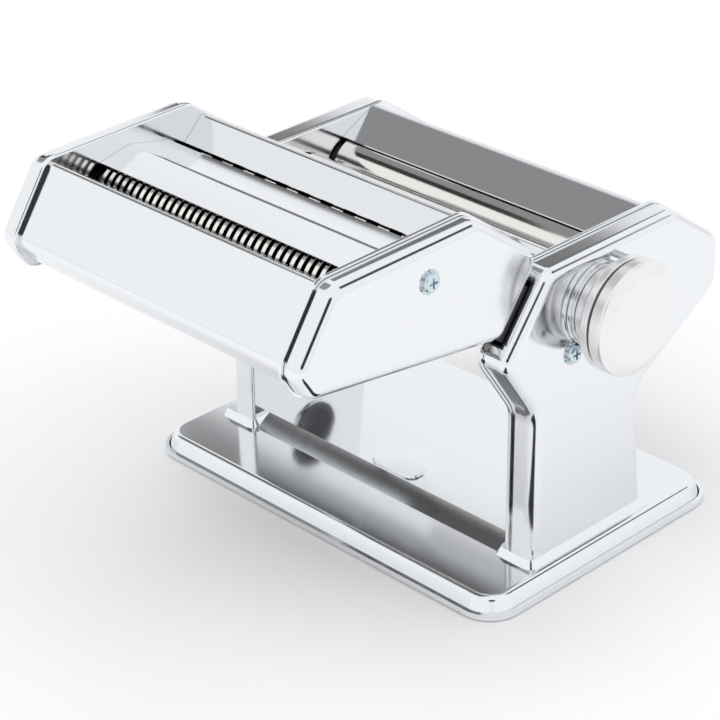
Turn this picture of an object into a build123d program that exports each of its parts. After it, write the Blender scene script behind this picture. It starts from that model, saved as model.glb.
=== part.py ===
"""Hand-cranked pasta roller machine with a detachable double cutter head.

Frame: X runs along the rollers (+X is the regulator side, -X the crank side), Y runs to the
back, Z up.  The origin is on the table, midway between the side casings, under the middle of
their feet.  Millimetres.
"""

from build123d import *
import os
from math import acos, atan2, cos, degrees, pi, radians, sin, tan

os.makedirs("parts", exist_ok=True)

# ------------------------------------------------------------------ driving dimensions
roller_length = 150.0            # working width of every roller
half_roller = roller_length / 2
plate_in = half_roller + 2.0     # inner face of the frame plates
sheet = 1.0                      # casing sheet thickness
seam_x = plate_in + 2.4          # seam between frame plate and casing shell
casing_out = 92.0                # outer face of the side casings
cap_out = 88.0                   # outer face of the cutter head caps
rim_grow = 1.2                   # frame plates stand proud of the casing outline
seam_gap = 0.1

# base
base_length = 210.0
base_depth = 144.0
base_shift = -2.0                # the base sits a little towards the crank side
deck_z = 9.5
plinth_z = 13.0                  # top of the raised plinth, where the casings stand
base_sheet = 1.2
lip_height = 2.6
lip_lift = 0.6

# main rollers
roller_r = 14.0
roller_wall = 2.8
axle_z = 117.5
gear_module = 2.2
gear_backlash = 0.12
main_teeth = 13
pinion_teeth = 10
front_y = 0.0
rear_y = front_y + gear_module * main_teeth
drive_z = axle_z - gear_module * (main_teeth + pinion_teeth) / 2
gap_travel = 3.2                 # how far the regulator opens the rollers
journal_r = 5.0
fit = 0.05                       # radial running clearance

# cutter head
cutter_r = 12.2
groove_r = 9.5
cutter_bore = 8.0
cutter_module = 1.875
cutter_teeth = 12
cutter_spacing = cutter_module * cutter_teeth
fine_pitch = 4.0
wide_pitch = 13.0
cutter_journal = 4.0
fine_front = (-128.5, 151.5)
fine_rear = (fine_front[0] + cutter_spacing, fine_front[1])
wide_front = (-80.2, 147.0)
wide_rear = (wide_front[0] + cutter_spacing, wide_front[1])
hub_r = 6.5                      # crank hubs
socket_r = 4.1                   # hole that takes the crank's round end
socket_depth = 10.0
cutter_socket_depth = 8.0

# outlines seen along X, as (Y, Z) corners with their rounding
casing_points = [(-36, 1), (-34.5, 78), (-54, 107.5), (-28, 140.5), (50, 140.5),
                 (80, 119), (79.5, 96), (28.5, 66), (36, 1)]
casing_radii = [6, 16, 6.5, 8, 8, 9, 11, 13, 6]
cap_points = [(-139, 173), (-64, 174), (-27.3, 147.2), (-49.8, 117.2), (-151, 131),
              (-159, 143.5)]
cap_radii = [8, 8, 8, 7, 8, 8]
casing_bend = 5.0
plate_bend = 1.6

# slanted front edge that carries the cutter head
rail_angle = 53.13
rail_dir = Vector(0, cos(radians(rail_angle)), sin(radians(rail_angle)))
rail_out = Vector(0, -sin(radians(rail_angle)), cos(radians(rail_angle)))
rail_x = 83.3
tongue_width = 5.0
tongue_length = 24.0
rail_clear = 0.3
rail_mid = Vector(0, -40.5, 124.7)

# regulator
knob_r = 24.2
index_radius = 21.0
index_positions = 9


# ------------------------------------------------------------------ shared shapes
def outline_solid(points, radii, grow, x_from, x_to, bend):
    """Extruded outline whose far face has a rounded bend all round."""
    with BuildPart() as solid:
        with BuildSketch(Plane.YZ.offset(x_from)):
            with BuildLine():
                FilletPolyline(*points, radius=radii, close=True)
            make_face()
            if grow:
                offset(amount=grow, kind=Kind.INTERSECTION)
        extrude(amount=x_to - x_from)
        if bend > 1:
            far_face = solid.faces().sort_by(Axis.X)[-1 if x_to > x_from else 0]
            fillet(far_face.edges(), bend)
    return solid.part


def pan(points, radii, grow, x_open, x_face, bend, wall, foot_z=None):
    """Sheet pan with its open side at x_open and its rounded face at x_face."""
    inward = wall if x_face < x_open else -wall
    outer = outline_solid(points, radii, grow, x_open, x_face, bend)
    inner = outline_solid(points, radii, grow - wall, x_open + inward, x_face + inward, bend - wall)
    with BuildPart() as tray:
        add(outer)
        add(inner, mode=Mode.SUBTRACT)
        if foot_z is not None:
            with Locations((x_face, 0, foot_z)):
                Box(60, 400, 60, align=(Align.CENTER, Align.CENTER, Align.MAX), mode=Mode.SUBTRACT)
    return tray.part


def bent_sheet(points, radii, thickness, half_width):
    """Sheet folded along lines parallel to X."""
    with BuildPart() as folded:
        with BuildSketch(Plane.YZ.offset(-half_width)):
            with BuildLine():
                FilletPolyline(*points, radius=radii)
            trace(line_width=thickness)
        extrude(amount=2 * half_width)
    return folded.part


def rod(centre, radius, x_from, x_to):
    """Round bar along X through the (Y, Z) centre."""
    with BuildPart() as bar:
        with BuildSketch(Plane.YZ.offset(x_from)):
            with Locations(centre):
                Circle(radius)
        extrude(amount=x_to - x_from)
    return bar.part


def ring(centre, outer_r, inner_r, x_from, x_to):
    """Round sleeve along X through the (Y, Z) centre."""
    with BuildPart() as sleeve:
        with BuildSketch(Plane.YZ.offset(x_from)):
            with Locations(centre):
                Circle(outer_r)
                Circle(inner_r, mode=Mode.SUBTRACT)
        extrude(amount=x_to - x_from)
    return sleeve.part


def mirrored(shape):
    """The same shape on the other side."""
    with BuildPart() as other:
        mirror(shape, about=Plane.YZ)
    return other.part


def involute_flank(base_r, start_r, end_r, half_angle, steps=5):
    """Points of one tooth flank; half_angle is the tooth's half angle at the base circle."""
    points = []
    for step in range(steps + 1):
        radius = start_r + (end_r - start_r) * step / steps
        pressure = acos(min(1.0, base_r / radius))
        turn = half_angle - (tan(pressure) - pressure)
        points.append((radius * cos(turn), radius * sin(turn)))
    return points


def spur_gear(centre, teeth, module, bore_r, x_from, width, first_tooth=0.0, addendum=1.0):
    """Involute spur gear on an axis along X; first_tooth is in degrees from +Y towards +Z."""
    pitch_r = module * teeth / 2
    pressure = radians(20)
    base_r = pitch_r * cos(pressure)
    root_r = pitch_r - 1.25 * module
    tip_r = pitch_r + addendum * module
    half_angle = pi / teeth / 2 - gear_backlash / pitch_r + tan(pressure) - pressure
    flank = involute_flank(base_r, max(base_r, root_r + 0.1), tip_r, half_angle)
    mirrored_flank = [(y, -z) for y, z in reversed(flank)]
    foot_y = (root_r - 0.3) * cos(half_angle)
    foot_z = (root_r - 0.3) * sin(half_angle)
    with BuildSketch() as tooth:
        with BuildLine():
            Polyline((foot_y, foot_z), *flank, *mirrored_flank, (foot_y, -foot_z), close=True)
        make_face()
    with BuildPart() as gear:
        with BuildSketch(Plane.YZ.offset(x_from)):
            with Locations(centre):
                Circle(root_r)
                with PolarLocations(0, teeth, start_angle=first_tooth):
                    add(tooth.sketch)
                Circle(bore_r, mode=Mode.SUBTRACT)
        extrude(amount=width)
    return gear.part


def meshing_tooth(centre_a, teeth_a, first_a, centre_b, teeth_b):
    """Angle of gear B's first tooth, in degrees, so that it meshes with gear A."""
    towards = degrees(atan2(centre_b[1] - centre_a[1], centre_b[0] - centre_a[0]))
    phase_a = ((towards - first_a) / (360 / teeth_a)) % 1
    return towards + 180 - (0.5 - phase_a) * 360 / teeth_b


def pan_head_screw(centre, x_seat, head_r, head_h, shank_r, shank_length, side=1):
    """Cross-recess screw along X; side is +1 where the head faces +X."""
    with BuildPart() as screw:
        with BuildSketch(Plane.YZ.offset(x_seat)):
            with Locations(centre):
                Circle(head_r)
        extrude(amount=head_h)
        fillet(screw.faces().sort_by(Axis.X)[-1].edges(), head_h * 0.6)
        with BuildSketch(Plane.YZ.offset(x_seat)):
            with Locations(centre):
                Circle(shank_r)
        extrude(amount=-shank_length)
        with BuildSketch(Plane.YZ.offset(x_seat + head_h)):
            with Locations(centre):
                with Locations(Location((0, 0), 0), Location((0, 0), 90)):
                    Rectangle(head_r * 1.1, head_r * 0.24)
        extrude(amount=-head_h * 0.6, mode=Mode.SUBTRACT)
    return screw.part if side > 0 else mirrored(screw.part)


def save(name, builder):
    """Label a finished piece and write its STEP file."""
    builder.part.label = name
    export_step(builder.part, f"parts/{name}.step")


# ------------------------------------------------------------------ base
def tray_solid(inset):
    """Outer shape of the pressed base, shrunk by inset on every side."""
    rim = (base_length - 2 * inset - 2, base_depth - 2 * inset - 2)
    with BuildPart() as shape:
        with BuildSketch(Plane.XY.offset(-inset)):
            with Locations((base_shift, 0)):
                RectangleRounded(*rim, 14 - inset)
        extrude(amount=deck_z, taper=skirt_taper)
        fillet(shape.faces().sort_by(Axis.Z)[-1].edges(), 3.0 - inset / 2)
        with BuildSketch(Plane.YZ.offset(-plate_in)):
            with BuildLine():
                Polyline((-ridge_y - slope_run, deck_z - inset), (-ridge_y, plinth_z - inset),
                         (37, plinth_z - inset), (42, deck_z - inset), close=True)
            make_face()
        extrude(amount=2 * plate_in)
        with BuildSketch(Plane.XY.offset(deck_z - inset - 1)):
            with Locations((foot_mid_x, 0), (-foot_mid_x, 0)):
                RectangleRounded(pedestal_width - 2 * inset, pedestal_depth - 2 * inset, 5 - inset)
        extrude(amount=plinth_z - deck_z + 1, taper=pedestal_taper)
        with BuildSketch(Plane.XY.offset(deck_z - inset)):
            with Locations((0, -ridge_y + 7.5)):
                RectangleRounded(28 - 2 * inset, 13 - 2 * inset, 5 - inset)
        extrude(amount=plinth_z - deck_z + 1.2, taper=12)
    return shape.part


skirt_taper = 20
ridge_y = 28.0
slope_run = 10.0
foot_mid_x = (plate_in + casing_out) / 2
pedestal_width = casing_out - plate_in + 8
pedestal_depth = 82.0
pedestal_taper = 30
foot_screw_y = 20.0
foot_screw_r = 2.0
foot_screws = [(side * foot_mid_x, y) for side in (-1, 1) for y in (-foot_screw_y, foot_screw_y)]

tray_outer = tray_solid(0)
tray_inner = tray_solid(base_sheet)

with BuildPart() as base_tray:
    add(tray_outer)
    with Locations((0, 0, 0)):
        Box(400, 400, 2 * lip_lift, mode=Mode.SUBTRACT)
    add(tray_inner, mode=Mode.SUBTRACT)
    with BuildSketch(Plane.XY.offset(lip_lift)):
        with Locations((base_shift, 0)):
            RectangleRounded(base_length, base_depth, 15)
            RectangleRounded(base_length - 3.2, base_depth - 3.2, 13.4, mode=Mode.SUBTRACT)
    extrude(amount=lip_height)
    with Locations(*[(x, y, plinth_z) for x, y in foot_screws]):
        Cylinder(foot_screw_r + fit, 10, mode=Mode.SUBTRACT)
save("base_tray", base_tray)

pad_spots = [(base_shift + side * 88, y) for side in (-1, 1) for y in (-57, 57)]
with BuildPart() as base_feet:
    with BuildSketch(Plane.XY):
        with Locations(*pad_spots):
            Circle(7.5)
    extrude(amount=deck_z - base_sheet, taper=-1)
    fillet(base_feet.faces().group_by(Axis.Z)[0].edges(), 0.8)
save("base_feet", base_feet)

with BuildPart() as foot_plates:
    with BuildSketch(Plane.XY.offset(plinth_z)):
        with Locations((foot_mid_x + 0.7, 0), (-foot_mid_x - 0.7, 0)):
            Rectangle(casing_out - seam_x - 2.6, 62)
    extrude(amount=3)
    with Locations(*[(x, y, plinth_z) for x, y in foot_screws]):
        Cylinder(foot_screw_r + fit, 10, mode=Mode.SUBTRACT)
save("foot_plates", foot_plates)

with BuildPart() as base_screws:
    with BuildSketch(Plane.XY.offset(plinth_z - base_sheet)):
        with Locations(*foot_screws):
            Circle(3.8)
    extrude(amount=-2)
    fillet(base_screws.faces().group_by(Axis.Z)[0].edges(), 1)
    with BuildSketch(Plane.XY.offset(plinth_z - base_sheet)):
        with Locations(*foot_screws):
            Circle(foot_screw_r)
    extrude(amount=5.5)
save("base_screws", base_screws)

# ------------------------------------------------------------------ side casings and plates
front_axle = (front_y, axle_z)
rear_axle = (rear_y, axle_z)
drive_axle = (rear_y, drive_z)
clamp_hole = (0.0, 33.0)
clamp_r = 10.0
index_angle = radians(60)
index_pin_at = (index_radius * cos(index_angle), axle_z + index_radius * sin(index_angle))
index_screw_at = (-13.5, 99.8)
rail_plane = Plane(origin=rail_mid, x_dir=(1, 0, 0), z_dir=rail_out)

casing_shell = pan(casing_points, casing_radii, 0.0, seam_x + seam_gap, casing_out, casing_bend,
                   sheet, plinth_z)
plate_shell = pan(casing_points, casing_radii, rim_grow, seam_x, plate_in, plate_bend, sheet,
                  plinth_z)


def cut_rail_slot(side):
    """Slot in the slanted front edge for the cutter head's tongue."""
    with Locations(Plane(origin=rail_mid + Vector(side * rail_x, 0, 0), x_dir=(1, 0, 0),
                         z_dir=rail_out).location):
        Box(tongue_width + 2 * rail_clear + 1.6, tongue_length + 2 * rail_clear + 4.6, 14,
            mode=Mode.SUBTRACT)


def cut_round(centre, radius, x_at, length=8):
    """Round hole along X."""
    with Locations(Location((x_at, *centre), (0, 90, 0))):
        Cylinder(radius, length, mode=Mode.SUBTRACT)


with BuildPart() as side_casing_right:
    add(casing_shell)
    cut_rail_slot(1)
    cut_round(front_axle, 9 + fit, casing_out)
    cut_round(index_pin_at, 1.5 + fit, casing_out)
    cut_round(index_screw_at, 1.9 + fit, casing_out)
save("side_casing_right", side_casing_right)

with BuildPart() as side_casing_left:
    mirror(casing_shell, about=Plane.YZ)
    cut_rail_slot(-1)
    cut_round(drive_axle, 9 + fit, -casing_out)
    cut_round(clamp_hole, clamp_r + 1 + fit, -casing_out)
save("side_casing_left", side_casing_left)

boss_width = 13.0
boss_height = 12.0
tie_spots = [(60, 112), (-33, 120)]


def cut_plate_holes(side):
    """Openings that both frame plates share."""
    with Locations((side * plate_in, front_y - gap_travel / 2, axle_z)):
        Box(12, boss_width + gap_travel + 4 * fit, boss_height + 4 * fit, mode=Mode.SUBTRACT)
    cut_round(rear_axle, 8 + fit, side * plate_in)


with BuildPart() as frame_plate_right:
    add(plate_shell)
    cut_plate_holes(1)
save("frame_plate_right", frame_plate_right)

with BuildPart() as frame_plate_left:
    mirror(plate_shell, about=Plane.YZ)
    cut_plate_holes(-1)
    cut_round(drive_axle, 4 + fit, -plate_in)
    cut_round(clamp_hole, clamp_r + 1 + fit, -plate_in)
save("frame_plate_left", frame_plate_left)

with BuildPart() as tie_rods:
    for spot in tie_spots:
        add(rod(spot, 3.5, -plate_in, plate_in))
save("tie_rods", tie_rods)

with BuildPart() as clamp_sleeve:
    add(ring(clamp_hole, clamp_r + 1, clamp_r, -casing_out - 0.8, -plate_in + 1.2))
    add(ring(clamp_hole, clamp_r + 2.5, clamp_r, -plate_in + 0.1, -plate_in + 1.2))
    fillet(clamp_sleeve.faces().sort_by(Axis.X)[-1].edges().sort_by(Edge.length)[-1], 0.8)
save("clamp_sleeve", clamp_sleeve)


def mounting_channel(side):
    """U-shaped channel behind a casing's slot, open to the front."""
    plane = Plane(origin=rail_mid + Vector(side * rail_x, 0, 0) - rail_out * 3.0, x_dir=(1, 0, 0),
                  z_dir=rail_out)
    inner = (tongue_width + 2 * rail_clear, tongue_length + 2 * rail_clear + 3)
    with BuildPart(plane) as channel:
        Box(inner[0] + 1.4, inner[1] + 1.4, 7)
        with Locations((0, 0, 0.7)):
            Box(inner[0], inner[1], 7, mode=Mode.SUBTRACT)
    return channel.part


with BuildPart() as mounting_channels:
    add(mounting_channel(1))
    add(mounting_channel(-1))
save("mounting_channels", mounting_channels)

# ------------------------------------------------------------------ hopper and guides
inner_half = plate_in - 0.1

with BuildPart() as rear_guide:
    add(bent_sheet([(23.8, 131.8), (42.5, 141), (47.5, 139.5), (51, 129), (51, 110)],
                   [1.2, 2, 4], 0.9, inner_half))
save("rear_guide", rear_guide)

with BuildPart() as front_guide:
    add(bent_sheet([(-6, 132.6), (-9.5, 138), (-15, 136.5), (-19, 129), (-19, 106)],
                   [1.2, 2, 4], 0.9, inner_half))
save("front_guide", front_guide)


def scraper(centre, lean):
    """Blade under a roller, hung from an ear round each journal; lean is +1 towards the back."""
    tip = Vector(centre[0] + lean * 2.4, centre[1] - roller_r - 0.35)
    with BuildPart() as blade:
        for x_ear in (-half_roller - 1.6, half_roller + 0.6):
            with BuildSketch(Plane.YZ.offset(x_ear)):
                with Locations(centre):
                    Circle(8)
                with Locations((tip.X - lean * 2, tip.Y + 3.5)):
                    Rectangle(6, 15)
                with Locations(centre):
                    Circle(journal_r + 0.3, mode=Mode.SUBTRACT)
            extrude(amount=1)
        with BuildSketch(Plane.YZ.offset(-half_roller - 1)):
            with BuildLine():
                Polyline((tip.X, tip.Y), (tip.X + lean * 0.5, tip.Y - 0.4),
                         (tip.X - lean * 3.5, tip.Y - 4), (tip.X - lean * 5, tip.Y - 4),
                         (tip.X - lean * 5, tip.Y - 2.8), (tip.X - lean * 3.8, tip.Y - 2.8), close=True)
            make_face()
        extrude(amount=roller_length + 2)
    return blade.part


with BuildPart() as rear_scraper:
    add(scraper(rear_axle, -1))
save("rear_scraper", rear_scraper)

with BuildPart() as front_scraper:
    add(scraper(front_axle, 1))
save("front_scraper", front_scraper)

# ------------------------------------------------------------------ main rollers
gear_x = -90.0
gear_width = 5.0


def roller_tube(centre):
    """Polished working tube with broken edges."""
    with BuildPart() as tube:
        add(ring(centre, roller_r, roller_r - roller_wall, -half_roller, half_roller))
        ends = tube.edges().filter_by(GeomType.CIRCLE).group_by(Edge.length)[-1]
        chamfer(ends, 0.4)
    return tube.part


def end_plugs(centre, plug_r, shaft_r, left_x, right_x):
    """The two journals pressed into a roller's ends."""
    with BuildPart() as plugs:
        add(rod(centre, plug_r, half_roller - 6, half_roller - 0.5))
        add(rod(centre, shaft_r, half_roller - 0.5, right_x))
        add(rod(centre, plug_r, -half_roller + 0.5, -half_roller + 6))
        add(rod(centre, shaft_r, left_x, -half_roller + 0.5))
    return plugs.part


for name, axle in (("front", front_axle), ("rear", rear_axle)):
    with BuildPart() as main_roller:
        add(roller_tube(axle))
    save(f"{name}_roller", main_roller)
    with BuildPart() as main_journals:
        add(end_plugs(axle, roller_r - roller_wall, journal_r, gear_x, 83.8))
    save(f"{name}_journals", main_journals)
    with BuildPart() as main_gear:
        add(spur_gear(axle, main_teeth, gear_module, journal_r, gear_x, gear_width))
    save(f"{name}_gear", main_gear)

with BuildPart() as rear_bushes:
    for side in (1, -1):
        bush = ring(rear_axle, 8, journal_r + fit, plate_in - 0.3, 83.5)
        flange = ring(rear_axle, 10, journal_r + fit, plate_in + sheet + 0.1, plate_in + sheet + 2)
        add([bush, flange] if side > 0 else [mirrored(bush), mirrored(flange)])
save("rear_bushes", rear_bushes)


def bearing_block():
    """Sliding block that carries the front roller's journal."""
    with BuildPart() as block:
        with BuildSketch(Plane.YZ.offset(plate_in - 0.4)):
            with Locations(front_axle):
                Rectangle(boss_width, boss_height)
        extrude(amount=2.5)
        with BuildSketch(Plane.YZ.offset(plate_in + 1.5)):
            with Locations(front_axle):
                RectangleRounded(20, 22, 2)
        extrude(amount=5.4)
        cut_round(front_axle, journal_r + fit, plate_in + 3.5, 9)
    return block.part


eccentric = gap_travel / 2
pin_r = 2.5
yoke_clear = 0.45
with BuildPart() as bearing_block_right:
    add(bearing_block())
    with BuildSketch(Plane.YZ.offset(plate_in + 6.9)):
        with Locations(front_axle):
            RectangleRounded(20, 22, 2)
        with Locations((front_y + eccentric, axle_z)):
            SlotCenterToCenter(2 * eccentric + 2 * yoke_clear, 2 * (pin_r + yoke_clear), rotation=90,
                               mode=Mode.SUBTRACT)
    extrude(amount=4.4)
save("bearing_block_right", bearing_block_right)

with BuildPart() as bearing_block_left:
    mirror(bearing_block(), about=Plane.YZ)
save("bearing_block_left", bearing_block_left)

# ------------------------------------------------------------------ crank drive
hub_x = -casing_out - 1.8


def crank_hub(centre, x_end, x_mouth, depth=socket_depth):
    """Driven hub: a blind round hole with a cross notch for the crank's pin."""
    with BuildPart() as hub:
        add(rod(centre, hub_r, x_mouth, x_end))
        chamfer(hub.faces().sort_by(Axis.X)[0].edges(), 0.6)
        cut_round(centre, socket_r, x_mouth, 2 * depth)
        with Locations((x_mouth, *centre)):
            Box(8, 2.4, 2 * hub_r + 1, mode=Mode.SUBTRACT)
    return hub.part


with BuildPart() as drive_shaft:
    add(crank_hub(drive_axle, -80.0, hub_x))
    add(rod(drive_axle, 4, -80.0, -plate_in + 0.4))
save("drive_shaft", drive_shaft)

pinion_tooth = meshing_tooth(rear_axle, main_teeth, 0.0, drive_axle, pinion_teeth)
with BuildPart() as drive_pinion:
    add(spur_gear(drive_axle, pinion_teeth, gear_module, hub_r, gear_x, gear_width, pinion_tooth))
save("drive_pinion", drive_pinion)


def crank_collar(centre, wall_out, x_front):
    """Flanged bearing ring in a casing's outer wall."""
    with BuildPart() as collar:
        add(ring(centre, 9, hub_r + fit, x_front, -wall_out + sheet + 0.3))
        add(ring(centre, 11.5, hub_r + fit, x_front, -wall_out - 0.05))
        fillet(collar.faces().sort_by(Axis.X)[0].edges().sort_by(Edge.length)[-1], 0.8)
    return collar.part


with BuildPart() as drive_collar:
    add(crank_collar(drive_axle, casing_out, -casing_out - 1.4))
save("drive_collar", drive_collar)

# ------------------------------------------------------------------ gap regulator
with BuildPart() as regulator_collar:
    with BuildSketch(Plane.XY) as collar_half:
        with BuildLine():
            FilletPolyline((90.7, journal_r + fit), (90.7, 9), (casing_out + 0.05, 9),
                           (casing_out + 0.05, 18.3), (94.4, 18.3), (94.4, 17.2), (95.2, 17.2),
                           (95.2, journal_r + fit), radius=[0, 0, 0, 0.9, 0.3, 0.1, 0.3, 0], close=True)
        make_face()
    revolve(axis=Axis.X)
    regulator_collar.part.position = (0, front_y, axle_z)
save("regulator_collar", regulator_collar)

with BuildPart() as regulator_shaft:
    add(rod((front_y + eccentric, axle_z), pin_r, 84.3, 89.0))
    add(rod(front_axle, 6.5, 88.6, 90.4))
    add(rod(front_axle, journal_r, 90.4, 112.0))
    add(rod(front_axle, 8, 110.4, 112.0))
save("regulator_shaft", regulator_shaft)

knob_back = 95.5
with BuildPart() as knob:
    with BuildSketch(Plane.XY):
        with BuildLine():
            FilletPolyline((knob_back, journal_r + fit), (knob_back, 17.4), (101.5, 17.4),
                           (103.2, 23.2), (104.4, 24), (107.2, 24), (107.6, 22.9), (108.3, 22.9),
                           (108.8, knob_r), (114.0, knob_r), (116.6, 19), (117.6, 0), (112.9, 0),
                           (112.9, 10), (103.2, 10), (103.2, journal_r + fit),
                           radius=[0, 0.8, 1, 0.8, 0.6, 0.4, 0.2, 0.2, 0.5, 1.6, 6, 0, 0, 0, 0, 0],
                           close=True)
        make_face()
    revolve(axis=Axis.X)
    with BuildSketch(Plane.YZ.offset(96)):
        Circle(22.8)
        Circle(19.0, mode=Mode.SUBTRACT)
    extrude(amount=9.8, mode=Mode.SUBTRACT)
    with BuildSketch(Plane.YZ.offset(105)):
        with PolarLocations(index_radius, index_positions, start_angle=60):
            Circle(1.9)
    extrude(amount=2.4, mode=Mode.SUBTRACT)
    knob.part.position = (0, front_y, axle_z)
save("knob", knob)

with BuildPart() as index_pin:
    add(rod(index_pin_at, 1.5, 90.5, 105.4))
    chamfer(index_pin.faces().sort_by(Axis.X)[-1].edges(), 0.3)
save("index_pin", index_pin)

with BuildPart() as index_screw:
    add(pan_head_screw(index_screw_at, casing_out + 0.02, 4.0, 2.2, 1.9, 4.5))
save("index_screw", index_screw)

# ------------------------------------------------------------------ cutter head
cap_seam = plate_in + 2.2
cap_shell = pan(cap_points, cap_radii, 0.0, cap_seam + seam_gap, cap_out, 5.0, sheet)
cap_plate_shell = pan(cap_points, cap_radii, rim_grow, cap_seam, plate_in, 1.4, sheet)
head_tie_spots = [(-91, 158.5), (-143, 140.5), (-42.5, 138.0)]
cap_screw_at = head_tie_spots[0]
tongue_top = 3.6


def tongue_box(side, grow, depth):
    """Tongue that plugs into a casing's slot, or with grow the hole for it."""
    plane = Plane(origin=rail_mid + Vector(side * rail_x, 0, 0), x_dir=(1, 0, 0), z_dir=rail_out)
    with BuildPart(plane) as tongue:
        Box(tongue_width + 2 * grow, tongue_length + 2 * grow, depth,
            align=(Align.CENTER, Align.CENTER, Align.MIN))
        with Locations((0, 0, -tongue_top)):
            Box(tongue_width + 2 * grow, tongue_length + 2 * grow, tongue_top,
                align=(Align.CENTER, Align.CENTER, Align.MIN))
    return tongue.part


for side, name in ((1, "right"), (-1, "left")):
    with BuildPart() as cap:
        if side > 0:
            add(cap_shell)
        else:
            mirror(cap_shell, about=Plane.YZ)
        add(tongue_box(side, fit, 9), mode=Mode.SUBTRACT)
        cut_round(cap_screw_at, 1.9 + fit, side * cap_out)
        if side < 0:
            cut_round(fine_front, 9 + fit, -cap_out)
            cut_round(wide_rear, 9 + fit, -cap_out)
    save(f"head_cap_{name}", cap)
    with BuildPart() as cap_plate:
        if side > 0:
            add(cap_plate_shell)
        else:
            mirror(cap_plate_shell, about=Plane.YZ)
        for axle in (fine_front, fine_rear, wide_front, wide_rear):
            cut_round(axle, cutter_journal + fit, side * plate_in)
        cut_round(cap_screw_at, 1.9 + fit, side * plate_in)
    save(f"head_plate_{name}", cap_plate)

with BuildPart() as head_tongues:
    add(tongue_box(1, 0, 7.5))
    add(tongue_box(-1, 0, 7.5))
save("head_tongues", head_tongues)

with BuildPart() as head_cover:
    add(bent_sheet([(-132.3, 168.4), (-137.2, 171.8), (-156.6, 143.6), (-149.5, 133), (-139, 131.6)],
                   [1.4, 5, 5], 0.9, inner_half))
save("head_cover", head_cover)

with BuildPart() as head_middle_guide:
    add(bent_sheet([(-112.6, 163.4), (-96.9, 166.6), (-76.6, 162.2), (-75.2, 160.8)],
                   [6, 1], 0.8, inner_half))
save("head_middle_guide", head_middle_guide)

with BuildPart() as head_rear_guide:
    add(bent_sheet([(-67.5, 158.2), (-57.5, 167.8), (-53.5, 166.4), (-41.5, 150.5)],
                   [1.2, 2], 0.8, inner_half))
save("head_rear_guide", head_rear_guide)

with BuildPart() as head_tie_rods:
    for spot in head_tie_spots:
        add(rod(spot, 2.6, -plate_in, plate_in))
    for side in (1, -1):
        cut_round(cap_screw_at, 1.9 + fit, side * plate_in, 16)
save("head_tie_rods", head_tie_rods)

with BuildPart() as cap_screws:
    for side in (1, -1):
        add(pan_head_screw(cap_screw_at, cap_out + 0.02, 4.0, 2.2, 1.9, 16, side))
save("cap_screws", cap_screws)


def cutter(centre, first_x, pitch, width, count):
    """Cutting roller: a row of sharp discs on a grooved body."""
    steps = [(-half_roller, groove_r)]
    for index in range(count):
        middle = first_x + index * pitch
        start = max(-half_roller, middle - width / 2)
        end = min(half_roller, middle + width / 2)
        steps += [(start, groove_r), (start, cutter_r), (end, cutter_r), (end, groove_r)]
    steps.append((half_roller, groove_r))
    steps += [(half_roller, cutter_bore), (-half_roller, cutter_bore)]
    points = [point for point, after in zip(steps, steps[1:] + steps[:1]) if point != after]
    with BuildPart() as roller:
        with BuildSketch(Plane.XY):
            with BuildLine():
                Polyline(*points, close=True)
            make_face()
        revolve(axis=Axis.X)
    return roller.part.moved(Location((0, *centre)))


cutter_gear_x = -86.0
cutter_gear_width = 4.0
cutters = {
    "fine_front": (fine_front, -74.0, fine_pitch, 1.9, 38, True),
    "fine_rear": (fine_rear, -72.0, fine_pitch, 1.9, 37, False),
    "wide_front": (wide_front, -71.5, wide_pitch, 6.3, 12, False),
    "wide_rear": (wide_rear, -65.0, wide_pitch, 6.3, 11, True),
}
fine_mesh = meshing_tooth(fine_front, cutter_teeth, 0.0, fine_rear, cutter_teeth)
first_teeth = {"fine_front": 0.0, "fine_rear": fine_mesh, "wide_front": fine_mesh, "wide_rear": 0.0}

for name, (axle, first_x, pitch, width, count, driven) in cutters.items():
    with BuildPart() as cutting_roller:
        add(cutter(axle, first_x, pitch, width, count))
    save(f"{name}_cutter", cutting_roller)
    with BuildPart() as cutter_shaft:
        add(end_plugs(axle, cutter_bore, cutter_journal, -80.0 if driven else cutter_gear_x, 81.0))
        if driven:
            add(crank_hub(axle, -80.0, -cap_out - 1.8, cutter_socket_depth))
    save(f"{name}_shaft", cutter_shaft)
    with BuildPart() as cutter_gear:
        add(spur_gear(axle, cutter_teeth, cutter_module, hub_r if driven else cutter_journal,
                      cutter_gear_x, cutter_gear_width, first_teeth[name], 0.85))
    save(f"{name}_gear", cutter_gear)

with BuildPart() as head_collars:
    add(crank_collar(fine_front, cap_out, -cap_out - 1.4))
    add(crank_collar(wide_rear, cap_out, -cap_out - 1.4))
save("head_collars", head_collars)


def comb(centre, lean, first_x, pitch, finger, count):
    """Bar under a cutting roller with a finger in each groove."""
    bar_y = centre[0] + lean * 7.5
    bar_z = centre[1] - cutter_r - 1.6
    with BuildPart() as strip:
        with BuildSketch(Plane.YZ.offset(-plate_in)):
            with Locations((bar_y, bar_z)):
                Rectangle(4, 2)
        extrude(amount=2 * plate_in)
        with BuildSketch(Plane.YZ.offset(first_x - finger / 2)):
            with Locations((bar_y - lean * 0.6, bar_z + 2.6)):
                Rectangle(1.2, 4.4)
        extrude(amount=finger)
        fingers = [first_x + index * pitch for index in range(count)]
        with BuildSketch(Plane.XY.offset(bar_z + 0.9)):
            with Locations(*[(x, bar_y - lean * 0.6) for x in fingers]):
                Rectangle(finger, 1.2)
        extrude(amount=3.4)
    return strip.part


with BuildPart() as fine_combs:
    add(comb(fine_front, -1, -72.0, fine_pitch, 1.5, 37))
    add(comb(fine_rear, 1, -70.0, fine_pitch, 1.5, 36))
save("fine_combs", fine_combs)

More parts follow.
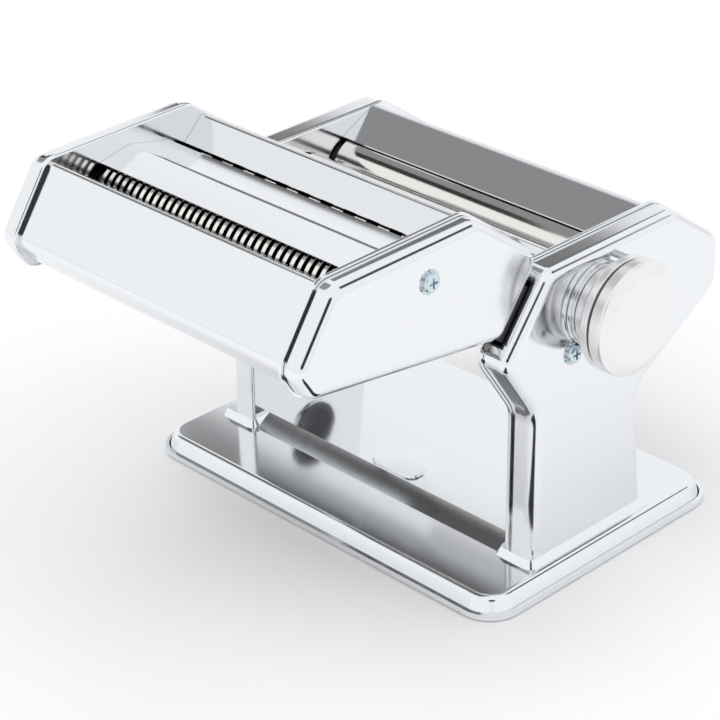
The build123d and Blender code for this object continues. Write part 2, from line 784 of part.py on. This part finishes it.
with BuildPart() as wide_combs:
    add(comb(wide_front, -1, -65.0, wide_pitch, 5.6, 11))
    add(comb(wide_rear, 1, -58.5, wide_pitch, 5.6, 10))
save("wide_combs", wide_combs)
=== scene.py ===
"""Studio scene of a hand-cranked pasta roller machine with its double cutter head.

Every dimension is in metres, in the machine's own frame: X along the rollers towards the
regulator knob, Y to the back, Z up, with the table top at Z = 0.
"""

import logging
import math
from dataclasses import dataclass, field
from enum import Enum

import bmesh
import bpy
from mathutils import Matrix, Vector


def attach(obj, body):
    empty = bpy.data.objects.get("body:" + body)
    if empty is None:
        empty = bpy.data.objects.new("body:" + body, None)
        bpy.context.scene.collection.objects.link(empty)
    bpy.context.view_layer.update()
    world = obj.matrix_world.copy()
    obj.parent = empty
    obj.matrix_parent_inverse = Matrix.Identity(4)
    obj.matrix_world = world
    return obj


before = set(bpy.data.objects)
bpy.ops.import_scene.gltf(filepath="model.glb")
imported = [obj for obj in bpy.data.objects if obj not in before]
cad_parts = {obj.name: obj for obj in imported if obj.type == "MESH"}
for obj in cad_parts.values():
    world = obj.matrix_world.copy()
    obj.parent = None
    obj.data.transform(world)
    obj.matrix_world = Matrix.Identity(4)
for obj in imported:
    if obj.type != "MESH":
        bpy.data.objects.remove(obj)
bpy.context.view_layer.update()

log = logging.getLogger("pasta_machine")

Colour = tuple[float, float, float]
Point = tuple[float, float, float]
Profile = list[tuple[float, float]]

FRONT_AXLE: Point = (0.0, 0.0, 0.1175)
SHARP_DEG = 32.0                # edges that turn further than this stay crisp


class Spread(Enum):
    """How a finish's marks are laid out on the metal."""

    ALL_WAYS = (1.0, 1.0, 1.0)
    ALONG_X = (0.06, 1.0, 1.0)
    ALONG_Z = (1.0, 1.0, 0.06)


class Body(Enum):
    """The moving bodies that extra pieces ride on."""

    FRAME = "frame"
    KNOB = "knob_body"
    HEAD = "cutter_head"


# --------------------------------------------------------------------------- finishes
class NodeWriter:
    """Short calls for writing one node tree."""

    def __init__(self, tree: bpy.types.NodeTree) -> None:
        """Starts from an empty tree."""
        self.tree = tree
        self.tree.nodes.clear()

    def add(self, kind: str, inputs: dict | None = None, **settings: object) -> bpy.types.Node:
        """Adds a node.

        Args:
            kind: the node's class name.
            inputs: values or sockets for its inputs, by name or index.
            settings: attributes of the node.

        Returns:
            The new node.
        """
        node = self.tree.nodes.new(kind)
        for key, value in settings.items():
            setattr(node, key, value)
        for key, value in (inputs or {}).items():
            if isinstance(value, bpy.types.NodeSocket):
                self.tree.links.new(value, node.inputs[key])
            else:
                node.inputs[key].default_value = value
        return node

    def ranged(self, source: bpy.types.NodeSocket, low: float, high: float,
               start: float = 0.0, end: float = 1.0) -> bpy.types.NodeSocket:
        """Maps source from start..end to low..high, clamped."""
        node = self.add("ShaderNodeMapRange",
                        {0: source, 1: start, 2: end, 3: low, 4: high})
        return node.outputs[0]

    def blended(self, factor: bpy.types.NodeSocket, first: Colour, second: Colour
                ) -> bpy.types.NodeSocket:
        """Mixes two plain colours by a factor."""
        node = self.add("ShaderNodeMix", {0: factor, 6: (*first, 1.0), 7: (*second, 1.0)},
                        data_type="RGBA")
        return node.outputs[2]

    def noise(self, vector: bpy.types.NodeSocket, scale: float, detail: float = 3.0
              ) -> bpy.types.NodeSocket:
        """Grey noise at so many cells per metre."""
        node = self.add("ShaderNodeTexNoise", {"Vector": vector, "Scale": scale,
                                               "Detail": detail})
        return node.outputs[0]


@dataclass(frozen=True)
class Finish:
    """A finish that every material in the scene shares the outline of."""

    name: str
    light: Colour
    dark: Colour

    def material(self) -> bpy.types.Material:
        """Makes the node material, or gives the one already made."""
        known = bpy.data.materials.get(self.name)
        if known is not None:
            return known
        made = bpy.data.materials.new(self.name)
        made.use_nodes = True
        writer = NodeWriter(made.node_tree)
        shader = writer.add("ShaderNodeBsdfPrincipled")
        writer.add("ShaderNodeOutputMaterial", {"Surface": shader.outputs[0]})
        self.write(writer, shader)
        return made

    def mottle(self, writer: NodeWriter, shader: bpy.types.Node,
               cloud: bpy.types.NodeSocket) -> None:
        """Lets the colour wander between the finish's two tints with a noise."""
        tint = writer.blended(writer.ranged(cloud, 0.0, 1.0, 0.3, 0.7), self.light, self.dark)
        writer.tree.links.new(tint, shader.inputs["Base Color"])

    def write(self, writer: NodeWriter, shader: bpy.types.Node) -> None:
        """Writes the finish's own nodes into the shader's inputs."""
        raise NotImplementedError


@dataclass(frozen=True)
class PlatedSheet(Finish):
    """Chromed or nickelled metal with a faint press waviness and hairline scratches."""

    smooth: float = 0.03
    rough: float = 0.08
    ripple: float = 0.00006
    ripple_scale: float = 14.0
    hairline: float = 0.0000015
    spread: Spread = Spread.ALL_WAYS

    def write(self, writer: NodeWriter, shader: bpy.types.Node) -> None:
        """Plating whose tint, gloss and flatness wander a little over the sheet."""
        place = writer.add("ShaderNodeTexCoord").outputs["Object"]
        stretched = writer.add("ShaderNodeMapping", {"Vector": place,
                                                     "Scale": self.spread.value}).outputs[0]
        cloud = writer.noise(place, 38.0)
        smear = writer.noise(place, 160.0, 5.0)
        hair = writer.noise(stretched, 2600.0, 2.0)
        swell = writer.noise(place, self.ripple_scale, 1.0)
        self.mottle(writer, shader, cloud)
        shader.inputs["Metallic"].default_value = 1.0
        wiped = writer.add("ShaderNodeMath", {0: smear, 1: hair}, operation="MULTIPLY").outputs[0]
        writer.tree.links.new(writer.ranged(wiped, self.smooth, self.rough, 0.12, 0.42),
                              shader.inputs["Roughness"])
        waves = writer.add("ShaderNodeBump", {"Strength": 1.0, "Distance": self.ripple,
                                              "Height": swell})
        lines = writer.add("ShaderNodeBump", {"Strength": 1.0, "Distance": self.hairline,
                                              "Height": hair, "Normal": waves.outputs[0]})
        writer.tree.links.new(lines.outputs[0], shader.inputs["Normal"])


@dataclass(frozen=True)
class TurnedMetal(Finish):
    """Lathe-turned metal with fine rings about an axis along X."""

    centre: Point = FRONT_AXLE
    smooth: float = 0.16
    rough: float = 0.3
    mirror: float = 0.05
    satin_from: float = -1.0
    rings_per_metre: float = 900.0
    ring_depth: float = 0.000004

    def write(self, writer: NodeWriter, shader: bpy.types.Node) -> None:
        """Concentric tool marks with a soft sheen."""
        place = writer.add("ShaderNodeTexCoord").outputs["Object"]
        shift = tuple(-value for value in self.centre)
        centred = writer.add("ShaderNodeMapping", {"Vector": place, "Location": shift}).outputs[0]
        rings = writer.add("ShaderNodeTexWave",
                           {"Vector": centred, "Scale": self.rings_per_metre,
                            "Distortion": 0.6, "Detail": 2.0},
                           wave_type="RINGS", rings_direction="X").outputs[1]
        cloud = writer.noise(centred, 90.0)
        self.mottle(writer, shader, cloud)
        shader.inputs["Metallic"].default_value = 1.0
        mixed = writer.add("ShaderNodeMath", {0: rings, 1: cloud}, operation="MULTIPLY").outputs[0]
        satin = writer.ranged(mixed, self.smooth, self.rough, 0.0, 0.6)
        along = writer.add("ShaderNodeSeparateXYZ", {0: place}).outputs[0]
        front = writer.ranged(along, 0.0, 1.0, self.satin_from, self.satin_from + 0.0006)
        gloss = writer.add("ShaderNodeMix", {0: front, 2: self.mirror, 3: satin}).outputs[0]
        writer.tree.links.new(gloss, shader.inputs["Roughness"])
        marks = writer.add("ShaderNodeBump", {"Strength": 1.0, "Distance": self.ring_depth,
                                              "Height": rings})
        writer.tree.links.new(marks.outputs[0], shader.inputs["Normal"])


@dataclass(frozen=True)
class CutterSteel(Finish):
    """Bright ground teeth over painted shade in the grooves, about an axis along X."""

    centre: Point = FRONT_AXLE
    # Radii where the painted groove shade ends and the bright lands begin.
    groove_r: float = 0.0112
    land_r: float = 0.0121
    smooth: float = 0.16
    rough: float = 0.34

    def write(self, writer: NodeWriter, shader: bpy.types.Node) -> None:
        """Painted shade by distance from the cutter's axis, dark in the grooves and bright on the
        lands, with a noisy, uneven edge.
        """
        place = writer.add("ShaderNodeTexCoord").outputs["Object"]
        shift = (0.0, -self.centre[1], -self.centre[2])
        centred = writer.add("ShaderNodeMapping", {"Vector": place, "Location": shift}).outputs[0]
        flat = writer.add("ShaderNodeVectorMath", {0: centred, 1: (0.0, 1.0, 1.0)},
                          operation="MULTIPLY").outputs[0]
        reach = writer.add("ShaderNodeVectorMath", {0: flat}, operation="LENGTH").outputs["Value"]
        grain_and_edge_noise = writer.noise(place, 900.0)
        shake = writer.ranged(grain_and_edge_noise, -0.0002, 0.0002)
        jittered_reach = writer.add("ShaderNodeMath", {0: reach, 1: shake}).outputs[0]
        # Painted shade mask: 0 in the grooves below groove_r, 1 on the lands above land_r.
        bright = writer.ranged(jittered_reach, 0.0, 1.0, self.groove_r, self.land_r)
        tint = writer.blended(bright, self.dark, self.light)
        writer.tree.links.new(tint, shader.inputs["Base Color"])
        shader.inputs["Metallic"].default_value = 1.0
        writer.tree.links.new(writer.ranged(bright, self.rough, self.smooth),
                              shader.inputs["Roughness"])
        grain = writer.add("ShaderNodeBump", {"Strength": 0.5, "Distance": 0.00001,
                                              "Height": grain_and_edge_noise})
        writer.tree.links.new(grain.outputs[0], shader.inputs["Normal"])


@dataclass(frozen=True)
class Moulded(Finish):
    """Moulded nylon or rubber with a fine grain."""

    smooth: float = 0.35
    rough: float = 0.6
    grain_scale: float = 1500.0
    grain_depth: float = 0.00002

    def write(self, writer: NodeWriter, shader: bpy.types.Node) -> None:
        """Mottled colour with a fine moulded grain."""
        place = writer.add("ShaderNodeTexCoord").outputs["Object"]
        cloud = writer.noise(place, 120.0, 4.0)
        grain = writer.noise(place, self.grain_scale, 4.0)
        self.mottle(writer, shader, cloud)
        writer.tree.links.new(writer.ranged(grain, self.smooth, self.rough, 0.3, 0.7),
                              shader.inputs["Roughness"])
        pits = writer.add("ShaderNodeBump", {"Strength": 0.6, "Distance": self.grain_depth,
                                             "Height": grain})
        writer.tree.links.new(pits.outputs[0], shader.inputs["Normal"])


CASING = PlatedSheet("casing_chrome", (0.80, 0.81, 0.845), (0.76, 0.775, 0.815))
BASE = PlatedSheet("base_chrome", (0.82, 0.82, 0.815), (0.77, 0.77, 0.765), smooth=0.015,
                   rough=0.05, ripple=0.00005, ripple_scale=11.0)
GUIDE = PlatedSheet("guide_chrome", (0.80, 0.80, 0.81), (0.75, 0.75, 0.77), smooth=0.14,
                    rough=0.22, ripple=0.00001, spread=Spread.ALONG_X)
ROLLER = PlatedSheet("roller_nickel", (0.86, 0.84, 0.80), (0.80, 0.78, 0.74), smooth=0.06,
                     rough=0.14, ripple=0.000004, spread=Spread.ALONG_Z)
SHAFT = PlatedSheet("shaft_steel", (0.66, 0.67, 0.69), (0.58, 0.59, 0.61), smooth=0.18,
                    rough=0.3, ripple=0.000002, spread=Spread.ALONG_Z)
GEAR = PlatedSheet("gear_steel", (0.50, 0.51, 0.53), (0.40, 0.41, 0.43), smooth=0.25,
                   rough=0.42, ripple=0.000002)
ZINC = PlatedSheet("zinc_plate", (0.72, 0.79, 0.83), (0.60, 0.69, 0.74), smooth=0.16,
                   rough=0.3, ripple=0.000004)
KNOB = TurnedMetal("knob_satin", (0.86, 0.86, 0.865), (0.80, 0.80, 0.81), satin_from=0.1142)
DARK_STEEL = PlatedSheet("dark_steel", (0.10, 0.10, 0.105), (0.06, 0.06, 0.065), smooth=0.3,
                         rough=0.5, ripple=0.000002)
COLLAR = TurnedMetal("collar_bright", (0.84, 0.85, 0.87), (0.78, 0.79, 0.81), smooth=0.08,
                     rough=0.16)
NYLON = Moulded("bearing_nylon", (0.055, 0.055, 0.06), (0.035, 0.035, 0.04))
RUBBER = Moulded("foot_rubber", (0.03, 0.03, 0.03), (0.02, 0.02, 0.02), smooth=0.6, rough=0.85)


# --------------------------------------------------------------------------- meshes
def closed_ring(name: str, rows: list[list[Point]]) -> tuple[bpy.types.Object, bmesh.types.BMesh]:
    """Joins rows of points, each row closed on itself and the last row joined to the first.

    Args:
        name: the new object's name.
        rows: the section's points at each step round the ring.

    Returns:
        The new object, still empty, and the shape that is written into it by settle().
    """
    shape = bmesh.new()
    corners = [[shape.verts.new(point) for point in row] for row in rows]
    for step, here in enumerate(corners):
        there = corners[(step + 1) % len(corners)]
        for index in range(len(here)):
            after = (index + 1) % len(here)
            shape.faces.new((here[index], here[after], there[after], there[index]))
    bmesh.ops.recalc_face_normals(shape, faces=shape.faces)
    made = bpy.data.objects.new(name, bpy.data.meshes.new(name))
    bpy.context.scene.collection.objects.link(made)
    return made, shape


def settle(made: bpy.types.Object, shape: bmesh.types.BMesh) -> bpy.types.Object:
    """Writes a finished shape into its object."""
    shape.to_mesh(made.data)
    shape.free()
    return made


def lathe(name: str, profile: Profile, centre: Point, steps: int = 96) -> bpy.types.Object:
    """Turns a closed profile about an axis along X.

    Args:
        name: the new object's name.
        profile: (distance along X from the centre, radius) corners, in order.
        centre: a point on the axis.
        steps: how many faces go round.

    Returns:
        The new object, with smooth faces and sharp corners kept.
    """
    rows = []
    for step in range(steps):
        turn = 2 * math.pi * step / steps
        rows.append([(centre[0] + along, centre[1] + radius * math.cos(turn),
                      centre[2] + radius * math.sin(turn)) for along, radius in profile])
    made, shape = closed_ring(name, rows)
    for face in shape.faces:
        face.smooth = True
    for edge in shape.edges:
        if len(edge.link_faces) == 2 and edge.calc_face_angle() > math.radians(SHARP_DEG):
            edge.smooth = False
    return settle(made, shape)


def finished(piece: bpy.types.Object, finish: Finish, body: Body) -> bpy.types.Object:
    """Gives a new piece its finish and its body."""
    piece.data.materials.clear()
    piece.data.materials.append(finish.material())
    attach(piece, body.value)
    log.info("piece %s rides on %s", piece.name, body.value)
    return piece


def dress(node: str, finish: Finish) -> None:
    """Paints one CAD node with a finish."""
    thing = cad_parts[node]
    material = finish.material()
    for slot in thing.material_slots:
        slot.link = "OBJECT"
        slot.material = material
    log.info("node %s wears %s", node, finish.name)


# --------------------------------------------------------------------------- sub-assemblies
@dataclass
class LockWasher:
    """A toothed washer that shows round a screw's head."""

    name: str
    centre: Point
    body: Body
    side: int = 1
    inner: float = 0.00385
    outer: float = 0.0050
    thickness: float = 0.0005
    teeth: int = 14
    steps_per_tooth: int = 6
    crest_steps: int = 4
    twisted_steps: int = 2
    notch: float = 0.00055
    twist: float = 0.35

    def build(self) -> bpy.types.Object:
        """Builds the washer as a ring whose outer edge is cut into twisted teeth."""
        steps = self.teeth * self.steps_per_tooth
        rows = []
        for step in range(steps):
            turn = 2 * math.pi * step / steps
            part = step % self.steps_per_tooth
            reach = self.outer if part < self.crest_steps else self.outer - self.notch
            lift = self.thickness * (self.twist if part < self.twisted_steps else 0.0)
            section = ((self.inner, 0.0), (reach, 0.0), (reach, self.thickness + lift),
                       (self.inner, self.thickness))
            rows.append([(self.centre[0] + self.side * along,
                          self.centre[1] + radius * math.cos(turn),
                          self.centre[2] + radius * math.sin(turn)) for radius, along in section])
        made, shape = closed_ring(self.name, rows)
        return finished(settle(made, shape), ZINC, self.body)


@dataclass
class SubAssembly:
    """A group of CAD nodes with their finishes, and any pieces added to them."""

    nodes: dict[str, Finish] = field(default_factory=dict)

    def build(self) -> None:
        """Adds pieces that the CAD nodes lack; most groups have none."""

    def dress(self) -> None:
        """Paints the group's nodes."""
        for node, finish in self.nodes.items():
            dress(node, finish)


@dataclass
class Base(SubAssembly):
    """The pressed base with its rubber feet, foot plates and screws."""

    nodes: dict[str, Finish] = field(default_factory=lambda: {
        "base_tray": BASE, "base_feet": RUBBER, "foot_plates": ZINC, "base_screws": ZINC})


@dataclass
class Frame(SubAssembly):
    """Side casings, frame plates, tie rods, guides and bearings."""

    screw_seat: Point = (0.09202, -0.0135, 0.0998)
    clamp_face: Point = (-0.077, 0.0, 0.033)
    nodes: dict[str, Finish] = field(default_factory=lambda: {
        "side_casing_right": CASING, "side_casing_left": CASING, "frame_plate_right": CASING,
        "frame_plate_left": CASING, "tie_rods": SHAFT, "clamp_sleeve": NYLON,
        "mounting_channels": DARK_STEEL, "rear_guide": GUIDE, "front_guide": GUIDE,
        "rear_scraper": NYLON, "rear_bushes": NYLON, "drive_collar": COLLAR,
        "regulator_collar": COLLAR, "index_pin": SHAFT, "index_screw": ZINC})

    def build(self) -> None:
        """Adds the index screw's lock washer and the bright ring round the clamp hole."""
        LockWasher("index_screw_washer", self.screw_seat, Body.FRAME).build()
        flare = [(0.00003, 0.01256), (0.0009, 0.01262), (0.0011, 0.0129), (0.0008, 0.0134),
                 (0.0003, 0.0138), (0.00003, 0.0139)]
        rim = lathe("clamp_hole_rim", flare, self.clamp_face)
        finished(rim, CASING, Body.FRAME)


@dataclass
class Rollers(SubAssembly):
    """The two sheet rollers, their journals and gears, and the crank drive."""

    nodes: dict[str, Finish] = field(default_factory=lambda: {
        "rear_roller": ROLLER, "rear_journals": SHAFT, "rear_gear": GEAR, "front_roller": ROLLER,
        "front_journals": SHAFT, "front_gear": GEAR, "bearing_block_right": NYLON,
        "bearing_block_left": NYLON, "front_scraper": NYLON, "drive_shaft": SHAFT,
        "drive_pinion": GEAR})


@dataclass
class Regulator(SubAssembly):
    """The gap regulator's shaft and its pull-out knob."""

    groove_x: float = 0.10795
    groove_r: float = 0.0229
    shade_ring_r: float = 0.00042
    shade_ring_squash: float = 0.8
    shade_ring_proud: float = 0.0002
    shade_ring_steps: int = 14
    nodes: dict[str, Finish] = field(default_factory=lambda: {
        "regulator_shaft": SHAFT, "knob": KNOB})

    def build(self) -> None:
        """Adds a near-black ring in the knob's rim groove as painted shade."""
        profile = []
        for index in range(self.shade_ring_steps):
            turn = 2 * math.pi * index / self.shade_ring_steps
            profile.append((self.shade_ring_r * math.cos(turn) * self.shade_ring_squash,
                            self.groove_r + self.shade_ring_proud + self.shade_ring_r * math.sin(turn)))
        # The ring is painted shade in the groove, dressed in the near-black foot rubber finish.
        ring = lathe("knob_groove_shade_ring", profile, (self.groove_x, *FRONT_AXLE[1:]), steps=160)
        finished(ring, RUBBER, Body.KNOB)


@dataclass
class CutterHead(SubAssembly):
    """The lift-off head: caps, cover, guides, combs and the four cutting rollers."""

    cap_screw: Point = (0.08802, -0.091, 0.1585)
    nodes: dict[str, Finish] = field(default_factory=lambda: {
        "head_cap_right": CASING, "head_cap_left": CASING, "head_plate_right": CASING,
        "head_plate_left": CASING, "head_tongues": DARK_STEEL, "head_cover": CASING,
        "head_middle_guide": CASING, "head_rear_guide": GUIDE, "head_tie_rods": SHAFT,
        "cap_screws": ZINC, "fine_combs": NYLON, "wide_combs": NYLON, "head_collars": COLLAR})
    cutters: dict[str, Point] = field(default_factory=lambda: {
        "fine_front": (0.0, -0.1285, 0.1515), "fine_rear": (0.0, -0.106, 0.1515),
        "wide_front": (0.0, -0.0802, 0.147), "wide_rear": (0.0, -0.0577, 0.147)})

    def build(self) -> None:
        """Adds the lock washers under the two cap screws."""
        for side, name in ((1, "right"), (-1, "left")):
            seat = (side * self.cap_screw[0], *self.cap_screw[1:])
            LockWasher(f"cap_screw_washer_{name}", seat, Body.HEAD, side).build()

    def dress(self) -> None:
        """Paints the head's nodes and the four cutters."""
        super().dress()
        for cutter, axle in self.cutters.items():
            # The near-black second colour is painted shade in the cutter grooves.
            steel = CutterSteel(f"shaded_cutter_steel_{cutter}", (0.88, 0.87, 0.83),
                                (0.035, 0.034, 0.032), centre=axle)
            dress(f"{cutter}_cutter", steel)
            dress(f"{cutter}_shaft", SHAFT)
            dress(f"{cutter}_gear", GEAR)


# --------------------------------------------------------------------------- studio
@dataclass(frozen=True)
class SkyCard:
    """A soft-edged card in the studio's surroundings, seen only in reflections and light."""

    direction: Point
    inner_deg: float
    outer_deg: float
    level: float


@dataclass(frozen=True)
class FloorFinish(Finish):
    """Matt pale paper."""

    def write(self, writer: NodeWriter, shader: bpy.types.Node) -> None:
        """Very faintly mottled matt paper."""
        place = writer.add("ShaderNodeTexCoord").outputs["Object"]
        cloud = writer.noise(place, 3.0)
        writer.tree.links.new(writer.blended(cloud, self.light, self.dark),
                              shader.inputs["Base Color"])
        shader.inputs["Roughness"].default_value = 0.9
        shader.inputs["Specular IOR Level"].default_value = 0.1


@dataclass
class Studio:
    """Pale floor, soft surroundings, lamps and the camera."""

    floor_size: float = 30.0
    sky_level: float = 1.0
    cards: tuple[SkyCard, ...] = (
        SkyCard((-0.634, -0.02, 0.774), 14.0, 20.0, 0.30),
        SkyCard((0.40, 0.60, 0.69), 6.0, 11.0, 0.04),
        SkyCard((0.72, -0.59, 0.36), 10.0, 15.0, 0.02),
    )
    camera_at: Point = (0.6663, -0.6839, 0.5745)
    yaw_deg: float = 46.11
    pitch_deg: float = 28.43
    roll_deg: float = -1.27
    lens_mm: float = 125.1
    sensor_mm: float = 36.0

    def build(self) -> None:
        """Builds the floor, the surroundings, the flags, the lamps and the camera."""
        self.floor()
        self.sky()
        self.flag("front_flag", (0.185, -0.165, 0.0015), (0.055, 0.24), (0.0, 0.0, 43.9), 0.012)
        self.flag("base_flag", (-0.28, -0.055, 0.35), (0.30, 0.075), (0.0, 0.0, 0.0), 0.012)
        self.flag("back_flag", (-0.33, 0.32, 0.445), (0.50, 0.235), (90.0, 0.0, 0.0), 0.16)
        self.lamp("key_lamp", (-0.6, -0.9, 1.9), (0.0, 0.0, 0.05), 1.4, 9.0)
        self.lamp("fill_lamp", (1.2, 0.9, 1.6), (0.0, 0.0, 0.05), 1.4, 6.0)
        self.camera()

    def floor(self) -> None:
        """Lays the floor."""
        half = self.floor_size / 2
        mesh = bpy.data.meshes.new("studio_floor")
        corners = [(-half, -half, 0.0), (half, -half, 0.0), (half, half, 0.0), (-half, half, 0.0)]
        mesh.from_pydata(corners, [], [(0, 1, 2, 3)])
        floor = bpy.data.objects.new("studio_floor", mesh)
        bpy.context.scene.collection.objects.link(floor)
        paper = FloorFinish("floor_paper", (0.93, 0.93, 0.93), (0.91, 0.91, 0.91))
        mesh.materials.append(paper.material())

    def flag(self, name: str, centre: Point, size: tuple[float, float], turn_deg: Point,
             shade: float) -> None:
        """Sets a dark card that only reflections see.

        Args:
            name: the card's name.
            centre: where its middle is.
            size: its width and depth.
            turn_deg: its rotation about X, Y and Z.
            shade: how pale its cloth is.
        """
        mesh = bpy.data.meshes.new(name)
        wide, deep = size[0] / 2, size[1] / 2
        mesh.from_pydata([(-wide, -deep, 0.0), (wide, -deep, 0.0), (wide, deep, 0.0),
                          (-wide, deep, 0.0)], [], [(0, 1, 2, 3)])
        card = bpy.data.objects.new(name, mesh)
        bpy.context.scene.collection.objects.link(card)
        card.location = centre
        card.rotation_euler = [math.radians(value) for value in turn_deg]
        cloth = Moulded(f"{name}_cloth", (shade,) * 3, (0.8 * shade,) * 3, smooth=0.8, rough=0.95)
        mesh.materials.append(cloth.material())
        card.visible_camera = False
        card.visible_shadow = False
        card.visible_diffuse = False

    def sky(self) -> None:
        """Makes the white surroundings with their dark soft-edged cards."""
        world = bpy.data.worlds.new("studio_sky")
        world.use_nodes = True
        bpy.context.scene.world = world
        writer = NodeWriter(world.node_tree)
        way = writer.add("ShaderNodeTexCoord").outputs["Generated"]
        level = None
        for card in self.cards:
            facing = Vector(card.direction).normalized()
            dot = writer.add("ShaderNodeVectorMath", {0: way, 1: tuple(facing)},
                             operation="DOT_PRODUCT").outputs["Value"]
            seen = writer.add("ShaderNodeMapRange",
                              {0: dot, 1: math.cos(math.radians(card.outer_deg)),
                               2: math.cos(math.radians(card.inner_deg)), 3: 1.0, 4: card.level},
                              interpolation_type="SMOOTHSTEP").outputs[0]
            if level is None:
                level = seen
            else:
                level = writer.add("ShaderNodeMath", {0: level, 1: seen},
                                   operation="MULTIPLY").outputs[0]
        strength = writer.add("ShaderNodeMath", {0: level, 1: self.sky_level},
                              operation="MULTIPLY").outputs[0]
        glow = writer.add("ShaderNodeBackground", {"Color": (0.98, 0.99, 1.0, 1.0),
                                                   "Strength": strength})
        writer.add("ShaderNodeOutputWorld", {"Surface": glow.outputs[0]})

    def lamp(self, name: str, at: Point, towards: Point, size: float, power: float) -> None:
        """Hangs a large soft lamp.

        Args:
            name: the lamp's name.
            at: where it hangs.
            towards: the point it faces.
            size: the side of its square.
            power: its output in watts.
        """
        data = bpy.data.lights.new(name, "AREA")
        data.shape = "SQUARE"
        data.size = size
        data.energy = power
        lamp = bpy.data.objects.new(name, data)
        lamp.location = at
        lamp.rotation_euler = (Vector(towards) - Vector(at)).to_track_quat("-Z", "Y").to_euler()
        lamp.visible_glossy = False
        bpy.context.scene.collection.objects.link(lamp)

    def camera(self) -> None:
        """Sets the camera up in front of the regulator side."""
        yaw, pitch, roll = (math.radians(value)
                            for value in (self.yaw_deg, self.pitch_deg, self.roll_deg))
        forward = Vector((-math.sin(yaw) * math.cos(pitch), math.cos(yaw) * math.cos(pitch),
                          -math.sin(pitch)))
        level = Vector((math.cos(yaw), math.sin(yaw), 0.0))
        above = level.cross(forward)
        right = math.cos(roll) * level + math.sin(roll) * above
        up = -math.sin(roll) * level + math.cos(roll) * above
        data = bpy.data.cameras.new("studio_camera")
        data.sensor_width = self.sensor_mm
        data.lens = self.lens_mm
        data.clip_start = 0.01
        camera = bpy.data.objects.new("studio_camera", data)
        turned = Matrix((right, up, -forward)).transposed().to_4x4()
        camera.matrix_world = Matrix.Translation(self.camera_at) @ turned
        bpy.context.scene.collection.objects.link(camera)
        bpy.context.scene.camera = camera
        bpy.context.scene.view_settings.view_transform = "Standard"


def main() -> None:
    """Builds and dresses the machine, then the studio round it."""
    logging.basicConfig(level=logging.INFO, format="%(message)s")
    for assembly in (Base(), Frame(), Rollers(), Regulator(), CutterHead()):
        assembly.build()
        assembly.dress()
    Studio().build()


if __name__ == "__main__":
    main()
